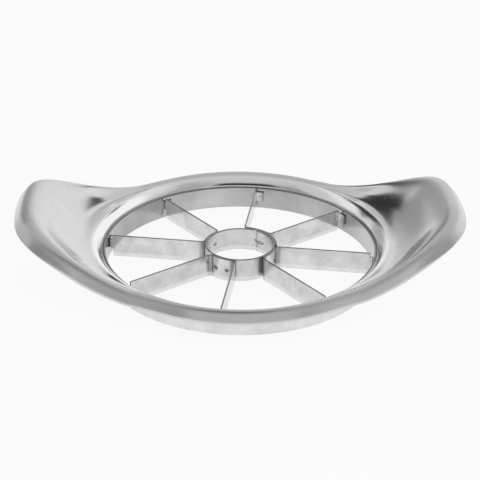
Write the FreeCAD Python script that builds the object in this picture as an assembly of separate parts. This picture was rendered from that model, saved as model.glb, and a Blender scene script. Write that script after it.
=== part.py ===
import FreeCAD, Part
import math
import os

# Apple slicer and corer of stainless steel sheet: a round blade ring with eight radial
# blades and a central core ring, carried under a stamped shell with two upswept wings.
# Origin on the core's axis, in the plane of the ring's lower edge. +X points to the right
# wing, +Y away from the front, +Z up. Millimetres and degrees.

Vector = FreeCAD.Vector
UP = Vector(0, 0, 1)

# Blade ring
ring_radius = 50.5
ring_height = 8.6
ring_sheet = 0.8

# Core ring, rolled from strip, its outer end stepped out and lapped over its inner end
core_radius = 12.2
core_rise = 0.1
core_sheet = 0.8
core_seam_azimuth = 57.6
core_lap_angle = 64.0
core_step_radius = 2.0

# Blade strips, each bent into two blades with a wrap round the core ring
strip_count = 4
strip_names = ("east", "north", "west", "south")
lapped_strip = "north"
strip_sheet = 0.6
strip_rise = 0.1
first_blade_azimuth = -54.8
edge_bevel_height = 1.7
edge_land = 0.15
root_bend_inside_radius = 1.0

# Tabs and feet at the outer ends of the blades
blade_end_gap = 1.4
tab_drop = 1.5
tab_height = 3.9
foot_bend_inside_radius = 0.4
foot_length = 2.3

# Shell, stamped from one sheet
shell_sheet = 1.0
collar_overlap = 3.6
collar_rise = 0.15
flare_rise = 2.1
flare_width = 1.5
bead_rise = 3.5
bead_width = 3.4
rim_rise = 5.0
land_width = 5.75
flank_round = 0.8
side_round = 1.6
tip_round = 4.0
crest_drop = 0.35
valley_depth = 1.2

# Wings of the shell
wing_reach = 21.15
wing_taper = 27.9
wing_rise = 15.4
wing_rise_power = 1.53
wing_bend_start = 38.5
wing_blend = 9.0
tip_arc_radius = 300.0
corner_softness = 14.2

# Skirt, turned down all round: how far it leans out and how deep it is
front_lean = 1.7
side_lean = 2.1
tip_lean = 4.0
front_skirt = 5.25
side_skirt = 5.85
tip_skirt = 4.5

# Weld nuggets
core_nugget_radius = 1.0
core_nugget_offsets = (-10.0, 10.0)
lapped_nugget_offsets = (-12.5, -4.5)
foot_nugget_radius = 0.7
collar_nugget_radius = 1.2
collar_nugget_count = 6
collar_nugget_azimuth = 15.0
nugget_proud = 0.06

# Clearance between sheets that lie on each other
sheet_fit = 0.02

# Fineness of the shell's surface round the opening
stations = 72
station_crowding = 0.22

# Sizes that follow from those above
strip_height = ring_height + strip_rise
core_height = strip_height + core_rise
tab_high = strip_height - tab_drop
tab_low = tab_high - tab_height
ring_inside = ring_radius - ring_sheet
core_outside = core_radius + core_sheet
lap_step = core_sheet + sheet_fit
foot_radius = ring_inside - sheet_fit - strip_sheet / 2
foot_inside = foot_radius - strip_sheet / 2
foot_bend = foot_bend_inside_radius + strip_sheet / 2
foot_lead = math.degrees(math.asin(foot_bend / (foot_radius - foot_bend)))
foot_arc = math.degrees(foot_length / foot_radius)
root_bend = root_bend_inside_radius + strip_sheet / 2
strip_pitch = 360.0 / strip_count
blade_pitch = strip_pitch / 2
collar_radius = ring_radius + sheet_fit
collar_low = ring_height - collar_overlap
flank_radius = collar_radius + land_width
tip_length = flank_radius + wing_reach
bead_radius = collar_radius + bead_width
bead_height = ring_height + bead_rise
rim_height = ring_height + rim_rise
flare_radius = collar_radius + flare_width
flare_height = ring_height + flare_rise


def polar(radius, azimuth, height=0.0):
    """Point at a radius and azimuth about the core's axis."""
    angle = math.radians(azimuth)
    return Vector(radius * math.cos(angle), radius * math.sin(angle), height)


def blend(low, high, share):
    """Value between two others, share running from 0 to 1."""
    return low + (high - low) * share


def smooth_step(value):
    """Rises from 0 to 1 with level ends."""
    value = min(max(value, 0.0), 1.0)
    return value * value * (3.0 - 2.0 * value)


def tube(outside, inside, low, high):
    """Plain ring between two radii and two heights."""
    outer = Part.makeCylinder(outside, high - low, Vector(0, 0, low))
    inner = Part.makeCylinder(inside, high - low, Vector(0, 0, low))
    return outer.cut(inner)


def nugget(azimuth, height, radius, inside, outside):
    """Round weld nugget on a radial axis, its ends curved with the sheets."""
    start = polar(inside - radius, azimuth, height)
    rod = Part.makeCylinder(radius, outside - inside + 2 * radius, start, polar(1.0, azimuth))
    return rod.common(tube(outside, inside, height - 2 * radius, height + 2 * radius))


class BentStrip:
    """Strip built run by run: a section drawn across it is pushed along each run.

    The outline holds (offset to the left, height) pairs; heading is an azimuth.
    """

    def __init__(self, place, heading):
        self.place = place
        self.heading = heading
        self.runs = []

    def section(self, outline):
        left = polar(1.0, self.heading + 90)
        points = [self.place + left * offset + UP * height for offset, height in outline]
        return Part.Face(Part.makePolygon(points + points[:1]))

    def straight(self, length, outline):
        run = polar(length, self.heading)
        self.runs.append(self.section(outline).extrude(run))
        self.place = self.place + run

    def bend(self, radius, turn, outline):
        side = 90 if turn > 0 else -90
        centre = self.place + polar(radius, self.heading + side)
        self.runs.append(self.section(outline).revolve(centre, UP, turn))
        self.place = centre + polar(radius, self.heading - side + turn)
        self.heading += turn

    def solid(self):
        return self.runs[0].multiFuse(self.runs[1:]).removeSplitter()


def strip_outline(low, high):
    """Plain rectangular section of the strip."""
    half = strip_sheet / 2
    return [(-half, low), (half, low), (half, high), (-half, high)]


def ground_outline(sheet, height):
    """Section of a sheet ground on both sides to its lower edge."""
    half = sheet / 2
    land = edge_land / 2
    return [
        (-land, 0.0),
        (land, 0.0),
        (half, edge_bevel_height),
        (half, height),
        (-half, height),
        (-half, edge_bevel_height),
    ]


def lift_of(name):
    """How far the lap of the core ring lifts a strip's wrap."""
    return lap_step if name == lapped_strip else 0.0


def blade_strip(azimuth, lift):
    """Two blades at azimuth and one blade pitch on, joined by their wrap."""
    blade = ground_outline(strip_sheet, strip_height)
    tab = strip_outline(tab_low, tab_high)

    tab_end = math.sqrt((foot_radius - foot_bend) ** 2 - foot_bend ** 2)
    blade_end = ring_inside - blade_end_gap

    wrap = core_outside + lift + sheet_fit + strip_sheet / 2
    root_lead = math.degrees(math.asin(root_bend / (wrap + root_bend)))
    blade_start = math.sqrt((wrap + root_bend) ** 2 - root_bend ** 2)

    foot_azimuth = azimuth - foot_lead - foot_arc
    strip = BentStrip(polar(foot_radius, foot_azimuth), foot_azimuth + 90)
    strip.bend(foot_radius, foot_arc, tab)
    strip.bend(foot_bend, 90 + foot_lead, tab)
    strip.straight(tab_end - blade_end, tab)
    strip.straight(blade_end - blade_start, blade)
    strip.bend(root_bend, root_lead - 90, blade)
    strip.bend(wrap, blade_pitch - 2 * root_lead, blade)
    strip.bend(root_bend, root_lead - 90, blade)
    strip.straight(blade_end - blade_start, blade)
    strip.straight(tab_end - blade_end, tab)
    strip.bend(foot_bend, -90 - foot_lead, tab)
    strip.bend(foot_radius, -foot_arc, tab)
    return strip.solid()


def core_nuggets():
    """Two nuggets through each wrap and the core ring."""
    height = strip_height / 2
    pieces = []
    for index, name in enumerate(strip_names):
        middle = first_blade_azimuth + index * strip_pitch + blade_pitch / 2
        wrap_outside = core_outside + lift_of(name) + sheet_fit + strip_sheet
        offsets = lapped_nugget_offsets if name == lapped_strip else core_nugget_offsets
        for offset in offsets:
            inside = core_radius - nugget_proud
            outside = wrap_outside + nugget_proud
            pieces.append(nugget(middle + offset, height, core_nugget_radius, inside, outside))
    return pieces


def foot_nuggets():
    """One nugget through each foot and the blade ring."""
    height = (tab_low + tab_high) / 2
    pieces = []
    for index in range(2 * strip_count):
        azimuth = first_blade_azimuth + index * blade_pitch - foot_lead - foot_arc / 2
        inside = foot_inside - nugget_proud
        outside = ring_radius + nugget_proud
        pieces.append(nugget(azimuth, height, foot_nugget_radius, inside, outside))
    return pieces


def collar_nuggets():
    """Nuggets hidden between the blade ring and the shell's collar, half in each sheet."""
    height = ring_height - collar_overlap / 2
    pieces = []
    for index in range(collar_nugget_count):
        azimuth = collar_nugget_azimuth + index * 360.0 / collar_nugget_count
        inside = ring_radius - ring_sheet / 2
        outside = collar_radius + shell_sheet / 2
        pieces.append(nugget(azimuth, height, collar_nugget_radius, inside, outside))
    return pieces


def core_ring():
    """Core ring rolled clockwise from its seam; the last turn steps out and laps the first.

    The step is two arcs: one bends away from the ring, the next back onto the lap's circle.
    """
    outline = ground_outline(core_sheet, core_height)
    first = core_radius + core_sheet / 2
    second = first + lap_step
    away = first + core_step_radius
    back = second - core_step_radius
    reach = 2 * core_step_radius
    step_arc = math.acos((away ** 2 + back ** 2 - reach ** 2) / (2 * away * back))
    away_turn = math.acos((away ** 2 + reach ** 2 - back ** 2) / (2 * away * reach))
    step_arc = math.degrees(step_arc)
    away_turn = math.degrees(away_turn)

    ring = BentStrip(polar(first, core_seam_azimuth), core_seam_azimuth - 90)
    ring.bend(first, step_arc - 360, outline)
    ring.bend(core_step_radius, away_turn, outline)
    ring.bend(core_step_radius, -away_turn - step_arc, outline)
    ring.bend(second, -core_lap_angle, outline)
    return ring.solid()


def crest_radius(azimuth):
    """Plan line of the shell's crest: the flank circle, its tangents along the wings, tips.

    The tip arc and the side line meet in a soft corner, a power mean of the two.
    """
    bearing = math.degrees(math.acos(abs(math.cos(math.radians(azimuth)))))
    off_tangent = max(90 - wing_taper - bearing, 0.0)
    side = flank_radius / math.cos(math.radians(off_tangent))
    tip_centre = tip_length - tip_arc_radius
    across = tip_centre * math.sin(math.radians(bearing))
    along = tip_centre * math.cos(math.radians(bearing))
    tip = along + math.sqrt(tip_arc_radius ** 2 - across ** 2)
    mean = side ** -corner_softness + tip ** -corner_softness
    return mean ** (-1 / corner_softness)


def shell_profile(azimuth):
    """Points of the shell's upper side at an azimuth, from the collar out to the edge."""
    crest = crest_radius(azimuth)
    wing = smooth_step((crest - flank_radius) / wing_blend)
    tip = smooth_step((crest - flank_radius - wing_blend) / (wing_reach - wing_blend))
    lean = blend(blend(front_lean, side_lean, wing), tip_lean, tip)
    skirt = blend(blend(front_skirt, side_skirt, wing), tip_skirt, tip)
    crest_round = blend(blend(flank_round, side_round, wing), tip_round, tip)

    past_bend = max(abs(crest * math.cos(math.radians(azimuth))) - wing_bend_start, 0.0)
    lift = wing_rise * (past_bend / (tip_length - wing_bend_start)) ** wing_rise_power
    crest_height = rim_height + lift
    collar_top = ring_height + collar_rise
    points = [
        (collar_radius, collar_low),
        (collar_radius, blend(collar_low, ring_height, 0.5)),
        (collar_radius, collar_top),
        (blend(collar_radius, flare_radius, 0.3), blend(collar_top, flare_height, 0.45)),
        (flare_radius, flare_height),
        (blend(flare_radius, bead_radius, 0.5), blend(flare_height, bead_height, 0.7)),
        (bead_radius, bead_height),
    ]

    dish_end = crest - crest_round
    dish_end_height = crest_height - crest_drop
    near_end = dish_end - 1.4 * crest_round
    dish = [blend(bead_radius, near_end, share) for share in (0.25, 0.5, 0.75, 1.0)]
    for radius in dish + [dish_end]:
        share = (radius - bead_radius) / (dish_end - bead_radius)
        height = blend(bead_height, dish_end_height, share ** 1.5)
        points.append((radius, height - valley_depth * wing * 4 * share * (1 - share)))

    for share in (0.16, 0.45, 0.72, 1.0):
        points.append((crest + share * lean, crest_height - share * skirt))
    return [polar(radius, azimuth, height) for radius, height in points]


def offset_rows(rows, distance):
    """Rows of points moved square to the surface that they span, to its under side."""
    count = len(rows)
    last = len(rows[0]) - 1
    moved = []
    for index, row in enumerate(rows):
        before = rows[index - 1]
        after = rows[(index + 1) % count]
        line = []
        for place, point in enumerate(row):
            across = row[min(place + 1, last)] - row[max(place - 1, 0)]
            around = after[place] - before[place]
            normal = across.cross(around)
            normal.normalize()
            line.append(point - normal * distance)
        moved.append(line)
    return moved


def poles_through(rows):
    """Poles of a closed cubic spline that passes through the rows, by relaxation."""
    count = len(rows)
    poles = [list(row) for row in rows]
    for _ in range(30):
        updated = []
        for index in range(count):
            before = poles[index - 1]
            here = poles[index]
            after = poles[(index + 1) % count]
            line = []
            for place, target in enumerate(rows[index]):
                passed = (before[place] + here[place] * 4 + after[place]) * (1 / 6)
                line.append(here[place] + target - passed)
            updated.append(line)
        poles = updated
    return poles


def closed_face(poles, degree):
    """Face of a spline surface, closed round the opening and open across the sheet."""
    around = len(poles)
    across = len(poles[0])
    spans = across - degree
    surface = Part.BSplineSurface()
    surface.buildFromPolesMultsKnots(
        poles,
        [1] * (around + 1),
        [degree + 1] + [1] * (spans - 1) + [degree + 1],
        [float(knot) for knot in range(around + 1)],
        [float(knot) for knot in range(spans + 1)],
        True,
        False,
        3,
        degree,
    )
    return surface.toShape()


def body_shell():
    """Stamped shell: collar, bead, two dished wings and a skirt turned down all round."""
    rows = []
    for index in range(stations):
        turn = 2 * math.pi * index / stations
        azimuth = math.degrees(turn - station_crowding * math.sin(2 * turn))
        rows.append(shell_profile(azimuth))
    upper = poles_through(rows)
    lower = poles_through(offset_rows(rows, shell_sheet))
    inner_edge = [[high[0], low[0]] for high, low in zip(upper, lower)]
    outer_edge = [[high[-1], low[-1]] for high, low in zip(upper, lower)]
    faces = [
        closed_face(upper, 3),
        closed_face(lower, 3),
        closed_face(inner_edge, 1),
        closed_face(outer_edge, 1),
    ]
    skin = Part.makeShell(faces)
    skin.sewShape()
    solid = Part.makeSolid(Part.makeShell(skin.Faces))
    if solid.Volume < 0:
        solid.reverse()
    return solid


def build():
    at_core = core_nuggets()
    at_feet = foot_nuggets()
    at_collar = collar_nuggets()
    ring = tube(ring_radius, ring_inside, 0.0, ring_height)
    nodes = {
        "body_shell": body_shell().cut(Part.makeCompound(at_collar)),
        "blade_ring": ring.cut(Part.makeCompound(at_feet + at_collar)),
        "core_ring": core_ring().cut(Part.makeCompound(at_core)),
        "core_weld_nuggets": Part.makeCompound(at_core),
        "foot_weld_nuggets": Part.makeCompound(at_feet),
        "collar_weld_nuggets": Part.makeCompound(at_collar),
    }
    for index, name in enumerate(strip_names):
        strip = blade_strip(first_blade_azimuth + index * strip_pitch, lift_of(name))
        nodes["blade_strip_" + name] = strip.cut(Part.makeCompound(at_core + at_feet))
    return nodes


os.makedirs("parts", exist_ok=True)
for node_name, node_shape in build().items():
    node_shape.exportStep("parts/" + node_name + ".step")
    box = node_shape.BoundBox
    print(node_name, "solids", len(node_shape.Solids), "valid", node_shape.isValid(),
          "volume", round(node_shape.Volume, 1), "x", round(box.XMin, 2), round(box.XMax, 2),
          "y", round(box.YMin, 2), round(box.YMax, 2), "z", round(box.ZMin, 2), round(box.ZMax, 2))
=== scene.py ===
import bpy
import numpy as np
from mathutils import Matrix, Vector


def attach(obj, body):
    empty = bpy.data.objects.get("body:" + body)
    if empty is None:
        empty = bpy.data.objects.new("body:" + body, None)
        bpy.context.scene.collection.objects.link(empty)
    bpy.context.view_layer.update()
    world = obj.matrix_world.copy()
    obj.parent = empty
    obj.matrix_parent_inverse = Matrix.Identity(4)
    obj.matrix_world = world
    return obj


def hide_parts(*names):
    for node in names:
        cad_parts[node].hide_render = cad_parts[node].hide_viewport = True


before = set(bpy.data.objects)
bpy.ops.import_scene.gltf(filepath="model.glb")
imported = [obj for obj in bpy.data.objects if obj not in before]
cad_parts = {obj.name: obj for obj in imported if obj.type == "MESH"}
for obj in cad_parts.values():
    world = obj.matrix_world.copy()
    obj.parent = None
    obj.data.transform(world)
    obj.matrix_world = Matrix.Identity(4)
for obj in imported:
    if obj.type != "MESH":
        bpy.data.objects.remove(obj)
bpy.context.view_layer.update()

# Sizes in millimetres and degrees; meshes are made in metres
MM = 0.001

# Blade ring
RING_RADIUS = 50.5
RING_HEIGHT = 8.6
RING_SHEET = 0.8

# Core ring
CORE_RADIUS = 12.2
CORE_SHEET = 0.8
CORE_SEAM_AZIMUTH = 57.6
CORE_LAP_ANGLE = 64.0
CORE_STEP_RADIUS = 2.0

# Blade strips
STRIP_NAMES = ("east", "north", "west", "south")
LAPPED_STRIP = "north"
STRIP_SHEET = 0.6
FIRST_BLADE_AZIMUTH = -54.8
STRIP_PITCH = 90.0
BLADE_PITCH = 45.0
EDGE_BEVEL_HEIGHT = 1.7
EDGE_LAND = 0.15
ROOT_BEND = 1.0 + STRIP_SHEET / 2
BLADE_END_GAP = 1.4
FOOT_BEND = 0.4 + STRIP_SHEET / 2
FOOT_LENGTH = 2.3

# Shell
SHELL_SHEET = 1.0
COLLAR_OVERLAP = 3.6
COLLAR_RISE = 0.15
FLARE_RISE = 2.1
FLARE_WIDTH = 1.5
BEAD_RISE = 3.5
BEAD_WIDTH = 3.4
RIM_RISE = 5.0
LAND_WIDTH = 5.75
CREST_ROUND = 0.8
SIDE_ROUND = 1.6
TIP_ROUND = 4.0
CREST_DROP = 0.35
VALLEY_DEPTH = 1.2

# Wings of the shell
WING_REACH = 21.15
WING_TAPER = 27.9
WING_RISE = 15.4
WING_RISE_POWER = 1.53
WING_BEND_START = 38.5
WING_BLEND = 9.0
TIP_ARC_RADIUS = 300.0
CORNER_SOFTNESS = 14.2

# Skirt of the shell: how far it leans out and how deep it is
FRONT_LEAN = 1.7
SIDE_LEAN = 2.1
TIP_LEAN = 4.0
FRONT_SKIRT = 5.25
SIDE_SKIRT = 5.85
TIP_SKIRT = 4.5
STATION_CROWDING = 0.22

# Weld marks
CORE_MARK_RADIUS = 1.0
CORE_MARK_OFFSETS = (-10.0, 10.0)
LAPPED_MARK_OFFSETS = (-12.5, -4.5)
FOOT_MARK_RADIUS = 0.7
FOOT_FACE_MARK_RADIUS = 0.35
SHEET_FIT = 0.02

# Sizes that follow from those above
STRIP_HEIGHT = RING_HEIGHT + 0.1
CORE_HEIGHT = STRIP_HEIGHT + 0.1
TAB_HIGH = STRIP_HEIGHT - 1.5
TAB_LOW = TAB_HIGH - 3.9
RING_INSIDE = RING_RADIUS - RING_SHEET
CORE_OUTSIDE = CORE_RADIUS + CORE_SHEET
LAP_STEP = CORE_SHEET + SHEET_FIT
FOOT_RADIUS = RING_INSIDE - SHEET_FIT - STRIP_SHEET / 2
FOOT_LEAD = np.degrees(np.arcsin(FOOT_BEND / (FOOT_RADIUS - FOOT_BEND)))
FOOT_ARC = np.degrees(FOOT_LENGTH / FOOT_RADIUS)
COLLAR_RADIUS = RING_RADIUS + SHEET_FIT
FLANK_RADIUS = COLLAR_RADIUS + LAND_WIDTH
TIP_LENGTH = FLANK_RADIUS + WING_REACH

# Poles of the shell's section: shares along the dish and the skirt, and where the crest starts
DISH_SHARES = (0.25, 0.5, 0.75, 1.0)
SKIRT_SHARES = (0.16, 0.45, 0.72, 1.0)
DISH_POWER = 1.5
CREST_LEAD = 1.4

# Fineness of the meshes
SHELL_AROUND = 480
SHELL_ACROSS = 72
EDGE_STEPS = 9
RING_AROUND = 360
SECTION_SAMPLES = 26
PATH_STEP = 0.3
MARK_AROUND = 40
SHARP_ANGLE = 38

# Masks of the shell, as shares of the way across its sheet from the collar
CREST_SHARE = 0.85
CREST_BAND = 0.055
TIP_BAND = 0.09
TIP_SATIN = 1.35
THROAT_SHARE = 0.36
THROAT_FADE = 0.06

# Masks of the strips: reach of the weld tint, reach and strength of the painted shade in root
# bends, at strip ends and inside the blade ring, and the fades of the edges
SCORCH_REACH = 1.7
RING_SCORCH_REACH = 1.5
ROOT_SHADE_REACH = 0.7
# Strength of the painted shade on the blade ring's inside face
RING_INSIDE_SHADE = 0.6
GROUND_FADE = 0.2
CUT_LINE = 0.05
CUT_FADE = 0.06

# Weld marks: shape of their patch and height of their specks
MARK_WIDE = 1.15
MARK_TALL = 0.8
MARK_RINGS = (0.02, 0.14, 0.27, 0.4, 0.53, 0.66, 0.78, 0.88, 0.95, 1.0)
SPECK_HEIGHT = 0.05
SPECK_RISE = 0.006
MARK_SINK = 0.05
MARK_BACK = 0.12

# Camera: where it stands, what it looks at and how long its lens is
CAMERA_DISTANCE = 470.4
CAMERA_AZIMUTH = -92.4
CAMERA_ELEVATION = 28.38
CAMERA_AIM_HEIGHT = 10.3
CAMERA_ROLL = 0.56
CAMERA_FOCAL = 94.3

# Studio walls, as azimuth from the front towards the right, half width, lowest and highest
# elevation, softness and level; later patches cover earlier ones
STUDIO_LEVEL = 0.64
STUDIO_PATCHES = (
    (140.0, 48.0, -90.0, 46.0, 8.0, 1.04),
    (140.0, 60.0, 46.0, 60.0, 5.0, 0.82),
    (172.0, 12.0, 29.0, 48.0, 5.0, 0.58),
    (104.0, 26.0, -90.0, 13.0, 6.0, 0.86),
    (96.0, 12.0, -90.0, 22.0, 5.0, 0.84),
    (-150.0, 22.0, -90.0, 24.0, 6.0, 0.78),
    (-118.0, 18.0, 24.0, 55.0, 5.0, 0.90),
    (-150.0, 40.0, 50.0, 60.0, 5.0, 0.82),
    (-162.0, 6.0, 3.0, 32.0, 4.0, 0.62),
    (-149.0, 10.0, 4.0, 32.0, 5.0, 0.42),
    (-137.0, 12.0, 24.5, 36.0, 2.0, 0.04),
    (-150.0, 25.0, 29.5, 48.0, 2.0, 0.03),
    (48.0, 20.0, -90.0, 60.0, 6.0, 0.42),
    (137.0, 11.0, 30.5, 40.5, 2.0, 0.03),
    (-8.0, 30.0, 22.0, 57.0, 4.0, 0.02),
    (0.0, 66.0, -90.0, 17.0, 5.0, 0.60),
    (-52.0, 14.0, -90.0, 55.0, 6.0, 0.34),
    (52.0, 16.0, -90.0, 17.0, 6.0, 0.42),
)
WALL_SEEN = (0.985, 0.985, 0.985, 1)

# Floor: half its side, its colour and how much of it shows as plain white paper
FLOOR_REACH = 2000
FLOOR_CELLS = 8
FLOOR_DROP = 0.02
FLOOR_TONE = (0.86, 0.86, 0.87, 1)
FLOOR_GLOW = 0.92

# Lamp: place, width, height and power
LAMP_PLACE = (500, -450, 455)
LAMP_WIDTH = 560
LAMP_HEIGHT = 280
LAMP_POWER = 0.6

# Colours of the shell's polish
POLISH_TONE = (0.66, 0.66, 0.67, 1)
HAZE_TONE = (0.60, 0.60, 0.615, 1)
DULL_TONE = (0.50, 0.50, 0.51, 1)
# Painted highlight: a lighter tone on the throat's polish
THROAT_HIGHLIGHT_TONE = (0.88, 0.88, 0.89, 1)

# Colours of the strips: the darkest and lightest of their clouds, then what lies over them
BLADE_TONES = ((0.52, 0.52, 0.53, 1), (0.76, 0.76, 0.77, 1))
RING_TONES = ((0.64, 0.64, 0.65, 1), (0.80, 0.80, 0.81, 1))
CORE_TONES = ((0.48, 0.48, 0.49, 1), (0.68, 0.68, 0.69, 1))
# Painted shade: darkens the strips' root bends and ends, and the blade ring's inside
PAINTED_SHADE_TONE = (0.20, 0.20, 0.205, 1)
STAIN_TONE = (0.42, 0.41, 0.40, 1)
GROUND_TONE = (0.84, 0.84, 0.85, 1)
CUT_TONE = (0.16, 0.16, 0.165, 1)

# Colours of the welds
TINT_PALE = (0.60, 0.585, 0.555, 1)
TINT_BROWN = (0.40, 0.385, 0.37, 1)
TINT_DARK = (0.17, 0.168, 0.165, 1)
PIT_TONE = (0.05, 0.048, 0.045, 1)
WELD_TONE = (0.34, 0.33, 0.32, 1)


# Shapes

def blend(low, high, share):
    """Value between two others: low plus share times their difference."""
    return low + (high - low) * share


def smooth_step(value):
    """Three squares less two cubes of a value held between 0 and 1."""
    value = np.clip(value, 0.0, 1.0)
    return value * value * (3.0 - 2.0 * value)


def polar(radius, azimuth, height):
    """Points at a radius, azimuth in degrees and height: radius times cosine, sine."""
    angle = np.radians(azimuth)
    radius, angle, height = np.broadcast_arrays(radius, angle, height)
    return np.stack([radius * np.cos(angle), radius * np.sin(angle), height], axis=-1)


def unit(vectors):
    """Vectors divided by their length."""
    return vectors / np.linalg.norm(vectors, axis=-1, keepdims=True)


def grid_mesh(name, points, close_rows=True, cap_ends=False, uv=None, masks=None):
    """Mesh of a grid of points in millimetres, rows along axis 0, each row a closed loop.

    Faces run row to row; the last row joins the first, or both end rows get a flat cap.
    """
    rows, across = points.shape[:2]
    index = np.arange(rows * across).reshape(rows, across)
    here = index if close_rows else index[:-1]
    after = np.roll(index, -1, axis=0) if close_rows else index[1:]
    quads = np.stack([here, np.roll(here, -1, 1), np.roll(after, -1, 1), after], axis=-1)
    faces = quads.reshape(-1, 4).tolist()
    if cap_ends:
        faces.append(index[0][::-1].tolist())
        faces.append(index[-1].tolist())
    mesh = bpy.data.meshes.new(name)
    mesh.from_pydata((points.reshape(-1, 3) * MM).tolist(), [], faces)
    mesh.update()
    mesh.polygons.foreach_set("use_smooth", np.ones(len(faces), dtype=bool))
    mesh.set_sharp_from_angle(angle=np.radians(SHARP_ANGLE))
    for mask_name, values in (masks or {}).items():
        layer = mesh.attributes.new(mask_name, "FLOAT", "POINT")
        layer.data.foreach_set("value", np.ascontiguousarray(values, dtype=np.float32).ravel())
    if uv is not None:
        corners = np.empty(len(mesh.loops), dtype=np.int32)
        mesh.loops.foreach_get("vertex_index", corners)
        layer = mesh.uv_layers.new(name="sheet")
        layer.data.foreach_set("uv", uv.reshape(-1, 2)[corners].astype(np.float32).ravel())
    piece = bpy.data.objects.new(name, mesh)
    bpy.context.collection.objects.link(piece)
    return piece


def spline_weights(poles, samples):
    """Weights of a clamped cubic spline's poles at each sample, by the usual recurrence."""
    degree = 3
    spans = poles - degree
    knots = np.concatenate([np.zeros(degree), np.arange(spans + 1), np.full(degree, spans)])
    at = np.clip(samples, 0.0, spans - 1e-9)[:, None]
    weights = ((at >= knots[:-1]) & (at < knots[1:])).astype(float)
    for order in range(1, degree + 1):
        rise = knots[order:-1] - knots[:-order - 1]
        fall = knots[order + 1:] - knots[1:-order]
        rise = np.where(rise > 0, rise, np.inf)
        fall = np.where(fall > 0, fall, np.inf)
        left = (at - knots[:-order - 1]) / rise * weights[:, :-1]
        right = (knots[order + 1:] - at) / fall * weights[:, 1:]
        weights = left + right
    return weights


def crest_radius(azimuth):
    """Plan line of the crest: flank circle, tangents along the wings, tips, by a power mean."""
    bearing = np.degrees(np.arccos(np.abs(np.cos(np.radians(azimuth)))))
    off_tangent = np.maximum(90 - WING_TAPER - bearing, 0.0)
    side = FLANK_RADIUS / np.cos(np.radians(off_tangent))
    tip_centre = TIP_LENGTH - TIP_ARC_RADIUS
    across = tip_centre * np.sin(np.radians(bearing))
    along = tip_centre * np.cos(np.radians(bearing))
    tip = along + np.sqrt(TIP_ARC_RADIUS ** 2 - across ** 2)
    mean = side ** -CORNER_SOFTNESS + tip ** -CORNER_SOFTNESS
    return mean ** (-1 / CORNER_SOFTNESS)


def shell_poles(azimuth):
    """Poles of the shell's section at each azimuth: collar, flare, bead, dish, crest, skirt.

    The dish rises from the bead to the crest by a power of its share, less a parabola's dip
    in the wings. The crest rises by a power of its distance along X past the bend. The skirt
    runs straight down and a little out.
    """
    crest = crest_radius(azimuth)
    wing = smooth_step((crest - FLANK_RADIUS) / WING_BLEND)
    tip = smooth_step((crest - FLANK_RADIUS - WING_BLEND) / (WING_REACH - WING_BLEND))
    lean = blend(blend(FRONT_LEAN, SIDE_LEAN, wing), TIP_LEAN, tip)
    skirt = blend(blend(FRONT_SKIRT, SIDE_SKIRT, wing), TIP_SKIRT, tip)
    crest_round = blend(blend(CREST_ROUND, SIDE_ROUND, wing), TIP_ROUND, tip)
    past_bend = np.maximum(np.abs(crest * np.cos(np.radians(azimuth))) - WING_BEND_START, 0.0)
    lift = WING_RISE * (past_bend / (TIP_LENGTH - WING_BEND_START)) ** WING_RISE_POWER
    crest_height = RING_HEIGHT + RIM_RISE + lift
    collar_low = RING_HEIGHT - COLLAR_OVERLAP
    collar_top = RING_HEIGHT + COLLAR_RISE
    flare = COLLAR_RADIUS + FLARE_WIDTH
    flare_height = RING_HEIGHT + FLARE_RISE
    bead = COLLAR_RADIUS + BEAD_WIDTH
    bead_height = RING_HEIGHT + BEAD_RISE

    sections = [
        (COLLAR_RADIUS, collar_low),
        (COLLAR_RADIUS, blend(collar_low, RING_HEIGHT, 0.5)),
        (COLLAR_RADIUS, collar_top),
        (blend(COLLAR_RADIUS, flare, 0.3), blend(collar_top, flare_height, 0.45)),
        (flare, flare_height),
        (blend(flare, bead, 0.5), blend(flare_height, bead_height, 0.7)),
        (bead, bead_height),
    ]
    dish_end = crest - crest_round
    dish_end_height = crest_height - CREST_DROP
    near_end = dish_end - CREST_LEAD * crest_round
    dish = [blend(bead, near_end, share) for share in DISH_SHARES]
    for radius in dish + [dish_end]:
        share = (radius - bead) / (dish_end - bead)
        height = blend(bead_height, dish_end_height, share ** DISH_POWER)
        sections.append((radius, height - VALLEY_DEPTH * wing * 4 * share * (1 - share)))
    for share in SKIRT_SHARES:
        sections.append((crest + share * lean, crest_height - share * skirt))
    return np.stack([polar(radius, azimuth, height) for radius, height in sections], axis=1)


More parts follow.
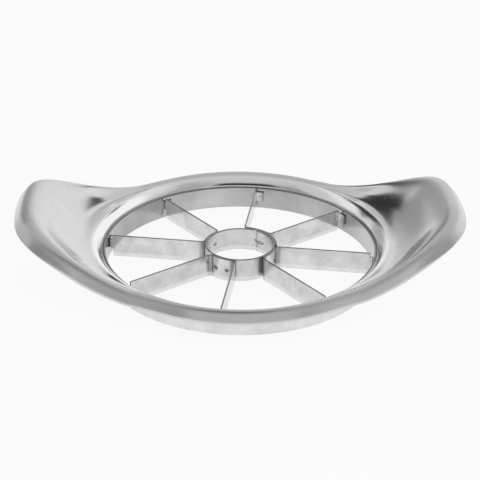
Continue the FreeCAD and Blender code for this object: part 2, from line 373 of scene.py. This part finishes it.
def make_shell():
    """Shell: the spline surface of its sections, an under side one sheet below, round edges.

    Each edge is half an ellipse about the sheet's middle, from the upper side to the under.
    The crest mask is a bell across the sheet, broader and stronger at the wings' tips.
    """
    turn = np.linspace(0, 2 * np.pi, SHELL_AROUND, endpoint=False)
    azimuth = np.degrees(turn - STATION_CROWDING * np.sin(2 * turn))
    poles = shell_poles(azimuth)
    trim = 0.05
    samples = np.linspace(trim, poles.shape[1] - 3 - trim, SHELL_ACROSS)
    upper = np.einsum("sp,npc->nsc", spline_weights(poles.shape[1], samples), poles)
    around = np.roll(upper, -1, axis=0) - np.roll(upper, 1, axis=0)
    across = unit(np.gradient(upper, axis=1))
    normal = unit(np.cross(across, around))
    lower = upper - normal * SHELL_SHEET

    sweep = np.linspace(np.pi / 2, -np.pi / 2, EDGE_STEPS)[1:-1]
    bulge = 0.25

    def edge(column, outward, angles):
        middle = (upper[:, column] + lower[:, column])[:, None] / 2
        out = (across[:, column] * outward)[:, None] * bulge * np.cos(angles)[None, :, None]
        up = normal[:, column][:, None] * SHELL_SHEET / 2 * np.sin(angles)[None, :, None]
        return middle + out + up

    points = np.concatenate(
        [upper, edge(-1, 1, sweep), lower[:, ::-1], edge(0, -1, sweep[::-1])], axis=1
    )
    share = np.linspace(0, 1, SHELL_ACROSS)
    to_edge = np.minimum(share, 1 - share)
    rim = np.zeros(len(sweep))
    edge_share = np.concatenate([to_edge, rim, to_edge[::-1], rim])
    under = np.concatenate([np.zeros(SHELL_ACROSS), rim, np.ones(SHELL_ACROSS), rim])
    collar = np.concatenate([share, rim + 1, share[::-1], rim])
    tip = smooth_step((crest_radius(azimuth) - FLANK_RADIUS) / WING_REACH)[:, None]
    crest = np.exp(-((collar - CREST_SHARE) / blend(CREST_BAND, TIP_BAND, tip)) ** 2)
    crest = crest * (1 - under) * blend(1.0, TIP_SATIN, tip)
    throat = 1 - smooth_step((collar - THROAT_SHARE) / THROAT_FADE)
    size = points.shape[:2]
    masks = {
        "crest": np.broadcast_to(crest, size),
        "throat": np.broadcast_to(throat, size),
        "edge": np.broadcast_to(edge_share, size),
        "under": np.broadcast_to(under, size),
    }
    return grid_mesh("shell_skin", points, masks=masks)


def half_width(height, low, high, sheet, ground):
    """Half the sheet's width at a height: full, less its round corners and ground edge.

    A round corner takes a circle's share off; the ground edge falls in line to its land.
    """
    corner = min(0.14, sheet / 4)
    inset = np.clip(corner - (high - height), 0.0, corner)
    width = sheet / 2 - corner + np.sqrt(corner ** 2 - inset ** 2)
    if ground:
        slope = np.clip((height - low) / EDGE_BEVEL_HEIGHT, 0.0, 1.0)
        return np.minimum(width, blend(EDGE_LAND / 2, sheet / 2, slope))
    inset = np.clip(corner - (height - low), 0.0, corner)
    return np.minimum(width, sheet / 2 - corner + np.sqrt(corner ** 2 - inset ** 2))


def section_loop(low, high, sheet, ground):
    """Closed section of an upright sheet: up its left side, down its right side."""
    share = (1 - np.cos(np.linspace(0, np.pi, SECTION_SAMPLES))) / 2
    height = blend(low, high, share)
    width = half_width(height, low, high, sheet, ground)
    offset = np.concatenate([-width, width[::-1]])
    return offset, np.concatenate([height, height[::-1]])


def walk(place, heading, runs):
    """Points, headings and kinds along runs of (kind, length or radius, turn).

    A straight run keeps its heading; a bend turns about a centre square to the heading.
    """
    places, headings, kinds = [], [], []
    place = np.array(place, dtype=float)
    for kind, measure, turn in runs:
        length = measure if turn == 0 else abs(np.radians(turn)) * measure
        count = max(int(np.ceil(length / PATH_STEP)), 2) + 1
        share = np.linspace(0, 1, count)
        ahead = heading + turn * share
        if turn == 0:
            along = np.array([np.cos(np.radians(heading)), np.sin(np.radians(heading))])
            run = place + share[:, None] * measure * along
        else:
            side = heading + (90 if turn > 0 else -90)
            inward = np.array([np.cos(np.radians(side)), np.sin(np.radians(side))])
            centre = place + measure * inward
            back = np.radians(side + 180 + turn * share)
            run = centre + measure * np.stack([np.cos(back), np.sin(back)], axis=-1)
        places.append(run)
        headings.append(ahead)
        kinds.append(np.full(count, kind))
        place = run[-1]
        heading = heading + turn
    return np.concatenate(places), np.concatenate(headings), np.concatenate(kinds)


def painted_shade_places(places, kinds):
    """Painted shade in a strip's root bends and at its ends: a bell of the distance to the
    nearest.
    """
    spots = np.concatenate([places[:1], places[-1:], places[kinds == "root"]])
    away = np.linalg.norm(places[:, None] - spots[None], axis=-1).min(axis=1)
    return np.exp(-(away / ROOT_SHADE_REACH) ** 2)


def scorch(points, marks, reach):
    """Weld tint at each point: a bell of the distance to the nearest mark."""
    away = np.linalg.norm(points[:, :, None] - marks[None, None], axis=-1).min(axis=-1)
    return np.exp(-(away / reach) ** 2)


def strip_mesh(name, path, sections, marks):
    """Sheet strip on edge along a path: each point's section is set across its heading.

    A point that repeats the one before it stays only where the section changes.
    """
    places, headings, kinds = path
    shade_bell = painted_shade_places(places, kinds)
    gap = np.linalg.norm(np.diff(places, axis=0), axis=1)
    new_section = [sections[kind] is not sections[last] for kind, last in zip(kinds[1:], kinds)]
    keep = np.concatenate([[True], (gap > 1e-6) | new_section])
    places, headings, kinds, shade_bell = places[keep], headings[keep], kinds[keep], shade_bell[keep]
    left = np.radians(headings + 90)
    across = np.stack([np.cos(left), np.sin(left)], axis=-1)
    offset = np.stack([sections[kind][0] for kind in kinds])[:, ::-1]
    height = np.stack([sections[kind][1] for kind in kinds])[:, ::-1]
    flat = places[:, None] + offset[..., None] * across[:, None]
    points = np.concatenate([flat, height[..., None]], axis=-1)
    travelled = np.concatenate([[0], np.cumsum(np.linalg.norm(np.diff(places, axis=0), axis=1))])
    uv = np.stack([np.broadcast_to(travelled[:, None], height.shape), height], axis=-1) * MM
    top = height.max(axis=1, keepdims=True)
    ground_start = EDGE_BEVEL_HEIGHT - GROUND_FADE / 2
    masks = {
        "scorch": scorch(points, marks, SCORCH_REACH),
        "ground": 1 - smooth_step((height - ground_start) / GROUND_FADE),
        "cut": 1 - smooth_step((top - height - CUT_LINE) / CUT_FADE),
        # Painted shade in the root bends and at the feet; at the core ring's seam it also gives
        # the dark joint
        "inner": shade_bell[:, None] + 0 * height,
    }
    return grid_mesh(name, points, close_rows=False, cap_ends=True, uv=uv, masks=masks)


def lift_of(name):
    """How far the lap of the core ring lifts a strip's wrap."""
    return LAP_STEP if name == LAPPED_STRIP else 0.0


def strip_azimuth(name):
    """Azimuth of a strip's first blade."""
    return FIRST_BLADE_AZIMUTH + STRIP_NAMES.index(name) * STRIP_PITCH


def core_mark_places():
    """Azimuth and outer radius of each weld mark on the wraps."""
    places = []
    for name in STRIP_NAMES:
        offsets = LAPPED_MARK_OFFSETS if name == LAPPED_STRIP else CORE_MARK_OFFSETS
        outside = CORE_OUTSIDE + lift_of(name) + SHEET_FIT + STRIP_SHEET
        middle = strip_azimuth(name) + BLADE_PITCH / 2
        places.extend((middle + offset, outside) for offset in offsets)
    return places


def foot_mark_azimuths():
    """Azimuth of the middle of each foot."""
    blades = np.arange(2 * len(STRIP_NAMES)) * BLADE_PITCH + FIRST_BLADE_AZIMUTH
    return blades - FOOT_LEAD - FOOT_ARC / 2


def core_mark_points():
    """Middles of the weld marks on the wraps."""
    azimuth, radius = np.transpose(core_mark_places())
    return polar(radius, azimuth, STRIP_HEIGHT / 2)


def foot_mark_points():
    """Middles of the weld marks on the blade ring's inner side."""
    return polar(RING_INSIDE, foot_mark_azimuths(), (TAB_LOW + TAB_HIGH) / 2)


def make_strip(name):
    """Blade strip: foot, tab, blade, root bend, wrap, and the same again backwards."""
    azimuth = strip_azimuth(name)
    sections = {
        "tab": section_loop(TAB_LOW, TAB_HIGH, STRIP_SHEET, False),
        "blade": section_loop(0.0, STRIP_HEIGHT, STRIP_SHEET, True),
    }
    sections["root"] = sections["blade"]
    tab_end = np.sqrt((FOOT_RADIUS - FOOT_BEND) ** 2 - FOOT_BEND ** 2)
    blade_end = RING_INSIDE - BLADE_END_GAP
    wrap = CORE_OUTSIDE + lift_of(name) + SHEET_FIT + STRIP_SHEET / 2
    root_lead = np.degrees(np.arcsin(ROOT_BEND / (wrap + ROOT_BEND)))
    blade_start = np.sqrt((wrap + ROOT_BEND) ** 2 - ROOT_BEND ** 2)
    foot = azimuth - FOOT_LEAD - FOOT_ARC
    runs = [
        ("tab", FOOT_RADIUS, FOOT_ARC),
        ("tab", FOOT_BEND, 90 + FOOT_LEAD),
        ("tab", tab_end - blade_end, 0),
        ("blade", blade_end - blade_start, 0),
        ("root", ROOT_BEND, root_lead - 90),
        ("blade", wrap, BLADE_PITCH - 2 * root_lead),
        ("root", ROOT_BEND, root_lead - 90),
        ("blade", blade_end - blade_start, 0),
        ("tab", tab_end - blade_end, 0),
        ("tab", FOOT_BEND, -90 - FOOT_LEAD),
        ("tab", FOOT_RADIUS, -FOOT_ARC),
    ]
    path = walk(polar(FOOT_RADIUS, foot, 0.0)[:2], foot + 90, runs)
    return strip_mesh("blades_" + name, path, sections, core_mark_points())


def make_core_ring():
    """Core ring: one turn clockwise from the seam, a step out on two arcs, then the lap.

    The step's arcs touch both circles and each other, so their angles are a triangle's.
    """
    first = CORE_RADIUS + CORE_SHEET / 2
    second = first + LAP_STEP
    away = first + CORE_STEP_RADIUS
    back = second - CORE_STEP_RADIUS
    reach = 2 * CORE_STEP_RADIUS
    step_arc = np.degrees(np.arccos((away ** 2 + back ** 2 - reach ** 2) / (2 * away * back)))
    away_turn = np.degrees(np.arccos((away ** 2 + reach ** 2 - back ** 2) / (2 * away * reach)))
    runs = [
        ("core", first, step_arc - 360),
        ("core", CORE_STEP_RADIUS, away_turn),
        ("core", CORE_STEP_RADIUS, -away_turn - step_arc),
        ("core", second, -CORE_LAP_ANGLE),
    ]
    sections = {"core": section_loop(0.0, CORE_HEIGHT, CORE_SHEET, True)}
    start = polar(first, CORE_SEAM_AZIMUTH, 0.0)[:2]
    path = walk(start, CORE_SEAM_AZIMUTH - 90, runs)
    return strip_mesh("core_band", path, sections, core_mark_points())


def make_blade_ring():
    """Blade ring: a round-cornered upright section turned about the axis."""
    offset, height = section_loop(0.0, RING_HEIGHT, RING_SHEET, False)
    azimuth = np.linspace(0, 360, RING_AROUND, endpoint=False)[:, None]
    radius = RING_RADIUS - RING_SHEET / 2 - offset[None]
    points = polar(radius, -azimuth, np.broadcast_to(height, (RING_AROUND, len(height))))
    points = points[:, ::-1]
    height = np.broadcast_to(height[::-1], points.shape[:2])
    along = np.radians(azimuth) * RING_RADIUS
    uv = np.stack([np.broadcast_to(along, height.shape), height], axis=-1) * MM
    outwards = smooth_step((radius[:, ::-1] - RING_INSIDE) / RING_SHEET)
    masks = {
        "scorch": scorch(points, foot_mark_points(), RING_SCORCH_REACH),
        "ground": np.zeros(height.shape),
        "cut": 1 - smooth_step((RING_HEIGHT - height - CUT_LINE) / CUT_FADE),
        # Painted shade on the blade ring's inside face
        "inner": RING_INSIDE_SHADE * (1 - outwards) + 0 * height,
    }
    return grid_mesh("ring_band", points[::-1], uv=uv[::-1], masks={
        name: values[::-1] for name, values in masks.items()
    })


def weld_mark(azimuth, height, radius, surface, outward, phase):
    """One weld mark: a low spatter over a patch, seen on a face of radius surface.

    Its height is two sine waves over the patch, sinking into the sheet at the rim and
    between the specks; the rim wanders by three sine waves and is wider than it is tall.
    A flat back inside the sheet closes it.
    """
    spin = np.linspace(0, 2 * np.pi, MARK_AROUND, endpoint=False)
    share = np.array(MARK_RINGS)
    wander = 1 + 0.2 * np.sin(3 * spin + phase) + 0.13 * np.sin(5 * spin + 2 * phase)
    wander = wander + 0.08 * np.sin(9 * spin + 3 * phase)
    reach = radius * share[:, None] * wander[None]
    sideways = MARK_WIDE * reach * np.cos(spin)
    upward = MARK_TALL * reach * np.sin(spin)
    specks = np.sin(5.3 * sideways / radius + phase) * np.sin(6.1 * upward / radius + 2 * phase)
    swell = SPECK_HEIGHT * specks + SPECK_RISE
    inside_rim = smooth_step((1 - share) / 0.2)[:, None]
    at_rim = smooth_step((share - 0.85) / 0.15)[:, None]
    swell = swell * inside_rim - MARK_SINK * at_rim
    swell = np.concatenate([swell, np.full(swell.shape, -MARK_BACK)])
    sideways = np.concatenate([sideways, sideways[::-1]])
    upward = np.concatenate([upward, upward[::-1]])
    turned = azimuth + np.degrees(sideways / surface)
    return polar(surface + outward * swell, turned, height + upward)[:, ::-outward]


def make_marks(name, marks):
    """Weld marks joined in one piece: each one's rings become quads, its poles caps."""
    parts = [
        grid_mesh(name + str(number), mark, close_rows=False, cap_ends=True)
        for number, mark in enumerate(marks)
    ]
    for part in parts:
        part.select_set(True)
    bpy.context.view_layer.objects.active = parts[0]
    with bpy.context.temp_override(active_object=parts[0], selected_editable_objects=parts):
        bpy.ops.object.join()
    parts[0].name = name
    parts[0].data.name = name
    bpy.ops.object.select_all(action="DESELECT")
    return parts[0]


def make_core_marks():
    """A mark outside each wrap and inside the core ring behind it."""
    marks = []
    height = STRIP_HEIGHT / 2
    for number, (azimuth, outside) in enumerate(core_mark_places()):
        marks.append(weld_mark(azimuth, height, CORE_MARK_RADIUS, outside, 1, number))
        marks.append(weld_mark(azimuth, height, CORE_MARK_RADIUS, CORE_RADIUS, -1, number + 4))
    return make_marks("core_weld_marks", marks)


def make_foot_marks():
    """A mark on each foot and outside the blade ring behind it."""
    marks = []
    face = FOOT_RADIUS - STRIP_SHEET / 2
    height = (TAB_LOW + TAB_HIGH) / 2
    for number, azimuth in enumerate(foot_mark_azimuths()):
        marks.append(weld_mark(azimuth, height, FOOT_FACE_MARK_RADIUS, face, -1, number))
        marks.append(weld_mark(azimuth, height, FOOT_MARK_RADIUS, RING_RADIUS, 1, number + 3))
    return make_marks("foot_weld_marks", marks)


# Shader helpers

class Nodes:
    """Short hand for one node tree: each call makes nodes and fills their inputs."""

    def __init__(self, tree):
        self.tree = tree

    def fill(self, socket, value):
        """Joins another node's output to a socket, or sets its plain value."""
        if isinstance(value, bpy.types.NodeSocket):
            self.tree.links.new(value, socket)
        else:
            socket.default_value = value

    def add(self, kind, inputs=None, **settings):
        node = self.tree.nodes.new(kind)
        for key, value in settings.items():
            setattr(node, key, value)
        for key, value in (inputs or {}).items():
            self.fill(node.inputs[key], value)
        return node

    def math(self, operation, first, second=0.0, clamp=False):
        inputs = {0: first, 1: second}
        return self.add("ShaderNodeMath", inputs, operation=operation, use_clamp=clamp).outputs[0]

    def times(self, first, second):
        return self.math("MULTIPLY", first, second)

    def plus(self, first, second):
        return self.math("ADD", first, second)

    def ramp(self, value, low, high, to_low=0.0, to_high=1.0):
        inputs = {"Value": value, "From Min": low, "From Max": high,
                  "To Min": to_low, "To Max": to_high}
        return self.add("ShaderNodeMapRange", inputs).outputs["Result"]

    def window(self, value, start, end):
        inputs = {"Value": value, "From Min": start, "From Max": end}
        node = self.add("ShaderNodeMapRange", inputs, interpolation_type="SMOOTHSTEP")
        return node.outputs["Result"]

    def mix(self, share, first, second):
        inputs = {0: share, 6: first, 7: second}
        return self.add("ShaderNodeMix", inputs, data_type="RGBA").outputs[2]

    def noise(self, vector, scale, detail=3.0, roughness=0.55):
        inputs = {"Vector": vector, "Scale": scale, "Detail": detail, "Roughness": roughness}
        return self.add("ShaderNodeTexNoise", inputs).outputs["Fac"]

    def stretched(self, vector, scale, turn=0.0):
        inputs = {"Vector": vector, "Scale": scale, "Rotation": (0.0, 0.0, np.radians(turn))}
        return self.add("ShaderNodeMapping", inputs).outputs["Vector"]

    def group(self, tree, inputs):
        return self.add("ShaderNodeGroup", inputs, node_tree=tree)


def new_group(name, inputs, outputs):
    """Empty node group with named sockets, and its input and output nodes."""
    tree = bpy.data.node_groups.new(name, "ShaderNodeTree")
    for label, kind in inputs:
        tree.interface.new_socket(label, in_out="INPUT", socket_type=kind)
    for label, kind in outputs:
        tree.interface.new_socket(label, in_out="OUTPUT", socket_type=kind)
    nodes = Nodes(tree)
    return nodes, nodes.add("NodeGroupInput"), nodes.add("NodeGroupOutput")


def scratches_group():
    """Hair scratches: long thin noise streaks in three directions, broken up by patches."""
    nodes, inside, outside = new_group(
        "hair_scratches",
        [("Vector", "NodeSocketVector"), ("Density", "NodeSocketFloat")],
        [("Mask", "NodeSocketFloat")],
    )
    vector = inside.outputs["Vector"]
    total = 0.0
    for turn, stretch, fine in ((18, 60, 2600), (-34, 90, 3400), (71, 45, 2200)):
        streaks = nodes.noise(nodes.stretched(vector, (stretch, fine, fine * 0.4), turn), 1.0, 1.0)
        patches = nodes.noise(nodes.stretched(vector, (90, 90, 90), turn), 1.0, 2.0)
        line = nodes.times(nodes.ramp(streaks, 0.70, 0.76), nodes.ramp(patches, 0.52, 0.66))
        total = nodes.plus(total, line)
    mask = nodes.math("MULTIPLY", total, inside.outputs["Density"], clamp=True)
    nodes.tree.links.new(mask, outside.inputs["Mask"])
    return nodes.tree


def haze_group():
    """Handling haze: slow cloudy patches with finer streaks wiped through them."""
    nodes, inside, outside = new_group(
        "handling_haze",
        [("Vector", "NodeSocketVector"), ("Scale", "NodeSocketFloat")],
        [("Mask", "NodeSocketFloat")],
    )
    vector = inside.outputs["Vector"]
    clouds = nodes.noise(vector, inside.outputs["Scale"], 4.0, 0.6)
    wiped = nodes.noise(nodes.stretched(vector, (1.0, 5.0, 3.0), 25), inside.outputs["Scale"], 3.0)
    both = nodes.times(nodes.ramp(clouds, 0.35, 0.7), nodes.ramp(wiped, 0.3, 0.7))
    nodes.tree.links.new(both, outside.inputs["Mask"])
    return nodes.tree


def rolled_grain_group():
    """Rolling grain of strip steel: fine lines along the strip, on its own flat map."""
    nodes, inside, outside = new_group(
        "rolled_grain",
        [("Vector", "NodeSocketVector")],
        [("Fine", "NodeSocketFloat"), ("Broad", "NodeSocketFloat")],
    )
    vector = inside.outputs["Vector"]
    fine = nodes.noise(nodes.stretched(vector, (220, 9000, 1)), 1.0, 4.0, 0.7)
    broad = nodes.noise(nodes.stretched(vector, (60, 900, 1)), 1.0, 3.0, 0.6)
    nodes.tree.links.new(fine, outside.inputs["Fine"])
    nodes.tree.links.new(broad, outside.inputs["Broad"])
    return nodes.tree


def heat_tint_group():
    """Weld heat tint: pale, then grey-brown, then dark towards the middle of a mark."""
    nodes, inside, outside = new_group(
        "heat_tint",
        [("Heat", "NodeSocketFloat"), ("Base", "NodeSocketColor")],
        [("Color", "NodeSocketColor")],
    )
    heat = inside.outputs["Heat"]
    tint = nodes.mix(nodes.ramp(heat, 0.4, 0.7), inside.outputs["Base"], TINT_PALE)
    tint = nodes.mix(nodes.ramp(heat, 0.68, 0.86), tint, TINT_BROWN)
    tint = nodes.mix(nodes.ramp(heat, 0.84, 0.95), tint, TINT_DARK)
    nodes.tree.links.new(tint, outside.inputs["Color"])
    return nodes.tree


GROUPS = {
    "scratches": scratches_group(),
    "haze": haze_group(),
    "grain": rolled_grain_group(),
    "tint": heat_tint_group(),
}


def new_material(name, metallic=1.0):
    """Material with one Principled shader; returns its nodes and that shader."""
    material = bpy.data.materials.new(name)
    material.use_nodes = True
    nodes = Nodes(material.node_tree)
    shader = material.node_tree.nodes["Principled BSDF"]
    shader.inputs["Metallic"].default_value = metallic
    return material, nodes, shader


def object_vector(nodes):
    """Object coordinates of the piece."""
    return nodes.add("ShaderNodeTexCoord").outputs["Object"]


def mask_of(nodes, name):
    """One of the piece's own masks."""
    return nodes.add("ShaderNodeAttribute", attribute_name=name).outputs["Fac"]


def finish(nodes, shader, tone, rough, normal):
    """Joins a finish's tone, roughness and normal to its shader."""
    for label, value in (("Base Color", tone), ("Roughness", rough), ("Normal", normal)):
        nodes.fill(shader.inputs[label], value)


def bump(nodes, height, strength, distance):
    """Normal of a bumped surface."""
    inputs = {"Height": height, "Strength": strength, "Distance": distance}
    return nodes.add("ShaderNodeBump", inputs).outputs["Normal"]


def polished_steel():
    """Shell finish: mirror polish over slight press waves, haze, hair scratches, satin crest, and
    a painted highlight in the throat.
    """
    material, nodes, shader = new_material("polished_steel")
    vector = object_vector(nodes)
    haze = nodes.group(GROUPS["haze"], {"Vector": vector, "Scale": 38.0}).outputs["Mask"]
    scratch = nodes.group(GROUPS["scratches"], {"Vector": vector, "Density": 0.8}).outputs["Mask"]
    under = mask_of(nodes, "under")
    worn = nodes.ramp(mask_of(nodes, "edge"), 0.0, 0.035, 1.0, 0.0)

    tone = nodes.mix(haze, POLISH_TONE, HAZE_TONE)
    tone = nodes.mix(nodes.times(scratch, 0.5), tone, DULL_TONE)
    tone = nodes.mix(nodes.times(under, 0.7), tone, DULL_TONE)
    # Painted highlight in the throat
    tone = nodes.mix(nodes.times(mask_of(nodes, "throat"), 0.9), tone, THROAT_HIGHLIGHT_TONE)

    rough = nodes.plus(nodes.times(haze, 0.05), 0.15)
    rough = nodes.plus(rough, nodes.times(scratch, 0.22))
    rough = nodes.plus(rough, nodes.times(under, 0.22))
    rough = nodes.plus(rough, nodes.times(worn, 0.06))
    rough = nodes.plus(rough, nodes.times(mask_of(nodes, "crest"), 0.24))

    waves = nodes.noise(vector, 55.0, 2.0, 0.4)
    grain = nodes.noise(vector, 1400.0, 3.0, 0.6)
    height = nodes.plus(nodes.times(waves, 0.5), nodes.times(grain, 0.012))
    height = nodes.math("SUBTRACT", height, nodes.times(scratch, 0.03))

    finish(nodes, shader, tone, rough, bump(nodes, height, 0.25, 0.0002))
    return material


def strip_steel(name, tone_low, tone_high, roughness):
    """Strip finish: clouds and rolling grain, painted shade in the root bends, at the ends and
    inside the blade ring, stains, bright ground edge, dark cut.

    The weld tint lies over all of them.
    """
    material, nodes, shader = new_material(name)
    vector = object_vector(nodes)
    flat = nodes.add("ShaderNodeUVMap", uv_map="sheet").outputs["UV"]
    grain = nodes.group(GROUPS["grain"], {"Vector": flat})
    haze = nodes.group(GROUPS["haze"], {"Vector": vector, "Scale": 90.0}).outputs["Mask"]
    scratch = nodes.group(GROUPS["scratches"], {"Vector": vector, "Density": 0.7}).outputs["Mask"]
    stains = nodes.ramp(nodes.noise(vector, 420.0, 4.0, 0.7), 0.64, 0.74)
    clouds = nodes.ramp(nodes.noise(vector, 130.0, 4.0, 0.6), 0.34, 0.62)
    # Breaks the painted shade into patches
    shade_patches = nodes.ramp(nodes.noise(vector, 24.0, 2.0), 0.35, 0.65, 0.5, 1.0)

    mixed = nodes.plus(nodes.times(grain.outputs["Broad"], 0.35), clouds)
    tone = nodes.mix(nodes.math("MULTIPLY", mixed, 0.74, clamp=True), tone_low, tone_high)
    # Painted shade in the root bends, at the strip ends and inside the blade ring
    tone = nodes.mix(nodes.times(mask_of(nodes, "inner"), shade_patches), tone, PAINTED_SHADE_TONE)
    tone = nodes.mix(nodes.times(stains, 0.3), tone, STAIN_TONE)
    tone = nodes.mix(nodes.times(mask_of(nodes, "ground"), 0.5), tone, GROUND_TONE)
    tone = nodes.mix(nodes.times(mask_of(nodes, "cut"), 0.8), tone, CUT_TONE)
    tint = {"Heat": mask_of(nodes, "scorch"), "Base": tone}
    tone = nodes.group(GROUPS["tint"], tint).outputs["Color"]

    rough = nodes.plus(nodes.times(haze, 0.10), roughness)
    rough = nodes.plus(rough, nodes.times(scratch, 0.12))
    rough = nodes.plus(rough, nodes.times(stains, 0.12))

    height = nodes.times(grain.outputs["Fine"], 0.12)
    height = nodes.plus(height, nodes.noise(vector, 110.0, 2.0))
    height = nodes.math("SUBTRACT", height, nodes.times(scratch, 0.1))

    finish(nodes, shader, tone, rough, bump(nodes, height, 0.3, 0.00012))
    return material


def weld_steel():
    """Weld marks: dark scorched steel with pitting."""
    material, nodes, shader = new_material("weld_steel")
    pits = nodes.noise(object_vector(nodes), 2200.0, 3.0, 0.7)
    tone = nodes.mix(nodes.ramp(pits, 0.42, 0.68), PIT_TONE, WELD_TONE)
    rough = nodes.ramp(pits, 0.3, 0.7, 0.55, 0.3)
    finish(nodes, shader, tone, rough, bump(nodes, pits, 0.6, 0.0001))
    return material


# Set: floor, light and camera

def background_rays(nodes):
    """One for rays that come from the camera, from gloss or through glass."""
    path = nodes.add("ShaderNodeLightPath")
    seen = nodes.plus(path.outputs["Is Camera Ray"], path.outputs["Is Glossy Ray"])
    return nodes.math("ADD", seen, path.outputs["Is Transmission Ray"], clamp=True)


def make_floor():
    """Plain pale floor, near white to the eye, with the object's soft shadow."""
    side = np.linspace(-FLOOR_REACH, FLOOR_REACH, FLOOR_CELLS + 1)
    x, y = np.meshgrid(side, side, indexing="ij")
    points = np.stack([x, y, 0 * x - FLOOR_DROP], axis=-1)
    index = np.arange(x.size).reshape(x.shape)
    quads = np.stack([index[:-1, :-1], index[1:, :-1], index[1:, 1:], index[:-1, 1:]], axis=-1)
    mesh = bpy.data.meshes.new("floor")
    mesh.from_pydata((points.reshape(-1, 3) * MM).tolist(), [], quads.reshape(-1, 4).tolist())
    floor = bpy.data.objects.new("floor", mesh)
    bpy.context.collection.objects.link(floor)
    material, nodes, shader = new_material("floor_paper", metallic=0.0)
    shader.inputs["Base Color"].default_value = FLOOR_TONE
    shader.inputs["Roughness"].default_value = 0.9
    glow = nodes.add("ShaderNodeEmission", {"Color": (1.0, 1.0, 1.0, 1), "Strength": 1.0})
    share = nodes.times(background_rays(nodes), FLOOR_GLOW)
    both = nodes.add("ShaderNodeMixShader", {0: share, 1: shader.outputs[0], 2: glow.outputs[0]})
    output = nodes.tree.nodes["Material Output"]
    nodes.tree.links.new(both.outputs[0], output.inputs["Surface"])
    mesh.materials.append(material)


def wall_patch(nodes, azimuth, elevation, patch):
    """Mask of one patch of the studio walls: a soft window in azimuth and elevation."""
    middle, reach, low, high, soft = patch[:5]
    away = nodes.math("SUBTRACT", azimuth, middle)
    turn = {0: away, 1: 180.0, 2: -180.0}
    away = nodes.add("ShaderNodeMath", turn, operation="WRAP").outputs[0]
    side = nodes.window(nodes.math("ABSOLUTE", away), reach + soft, reach - soft)
    over = nodes.window(elevation, low - soft, low + soft)
    under = nodes.window(elevation, high + soft, high - soft)
    return nodes.times(side, nodes.times(over, under))


def make_world():
    """Studio walls: soft patches of grey, white and black card; near white to the camera."""
    world = bpy.data.worlds.new("studio")
    bpy.context.scene.world = world
    world.use_nodes = True
    nodes = Nodes(world.node_tree)
    background = world.node_tree.nodes["Background"]
    direction = nodes.add("ShaderNodeTexCoord").outputs["Generated"]
    split = nodes.add("ShaderNodeSeparateXYZ", {0: direction})
    towards = nodes.times(split.outputs["Y"], -1.0)
    azimuth = nodes.math("ARCTAN2", split.outputs["X"], towards)
    azimuth = nodes.math("DEGREES", azimuth)
    elevation = nodes.math("DEGREES", nodes.math("ARCSINE", split.outputs["Z"]))
    tone = (STUDIO_LEVEL, STUDIO_LEVEL, STUDIO_LEVEL, 1)
    for patch in STUDIO_PATCHES:
        level = patch[-1]
        share = wall_patch(nodes, azimuth, elevation, patch)
        tone = nodes.mix(share, tone, (level, level, level, 1))
    path = nodes.add("ShaderNodeLightPath")
    tone = nodes.mix(path.outputs["Is Camera Ray"], tone, WALL_SEEN)
    nodes.tree.links.new(tone, background.inputs["Color"])
    background.inputs["Strength"].default_value = 1.0


def make_lamp():
    """Soft lamp high on the right, turned to the core; it lights and isn't mirrored."""
    lamp = bpy.data.lights.new("key", "AREA")
    lamp.energy = LAMP_POWER
    lamp.shape = "RECTANGLE"
    lamp.size = LAMP_WIDTH * MM
    lamp.size_y = LAMP_HEIGHT * MM
    light = bpy.data.objects.new("key", lamp)
    light.location = Vector(LAMP_PLACE) * MM
    light.rotation_euler = (-Vector(LAMP_PLACE)).to_track_quat("-Z", "Y").to_euler()
    light.visible_glossy = False
    bpy.context.collection.objects.link(light)


def make_camera():
    """Camera in front of the tool and above it, aimed over the core, with a slight roll."""
    elevation = np.radians(CAMERA_ELEVATION)
    out = CAMERA_DISTANCE * np.cos(elevation)
    place = Vector(polar(out, CAMERA_AZIMUTH, CAMERA_DISTANCE * np.sin(elevation))) * MM
    aim = Vector((0, 0, CAMERA_AIM_HEIGHT)) * MM
    data = bpy.data.cameras.new("camera")
    data.lens = CAMERA_FOCAL
    data.sensor_width = 36.0
    camera = bpy.data.objects.new("camera", data)
    camera.location = place
    camera.rotation_euler = (aim - place).to_track_quat("-Z", "Y").to_euler()
    camera.rotation_euler.rotate_axis("Z", np.radians(CAMERA_ROLL))
    bpy.context.collection.objects.link(camera)
    bpy.context.scene.camera = camera


def dress(piece, material, slot, *nodes):
    """Gives a piece its material and body, and hides the nodes that it stands for; its slot is not
    used.
    """
    piece.data.materials.clear()
    piece.data.materials.append(material)
    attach(piece, "root")
    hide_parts(*nodes)


def main():
    shell_finish = polished_steel()
    blade_finish = strip_steel("blade_steel", *BLADE_TONES, roughness=0.13)
    ring_finish = strip_steel("ring_steel", *RING_TONES, roughness=0.18)
    core_finish = strip_steel("core_steel", *CORE_TONES, roughness=0.15)
    weld_finish = weld_steel()

    dress(make_shell(), shell_finish, "polished_steel", "body_shell")
    dress(make_blade_ring(), ring_finish, "strip_steel", "blade_ring")
    dress(make_core_ring(), core_finish, "strip_steel", "core_ring")
    for name in STRIP_NAMES:
        dress(make_strip(name), blade_finish, "strip_steel", "blade_strip_" + name)
    dress(make_core_marks(), weld_finish, "weld_steel", "core_weld_nuggets")
    dress(make_foot_marks(), weld_finish, "weld_steel", "foot_weld_nuggets")

    # The nuggets behind the collar keep their own solids
    collar_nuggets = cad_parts["collar_weld_nuggets"]
    collar_nuggets.data.materials.clear()
    collar_nuggets.data.materials.append(weld_finish)

    make_floor()
    make_world()
    make_lamp()
    make_camera()
    bpy.context.scene.view_settings.view_transform = "Standard"


main()
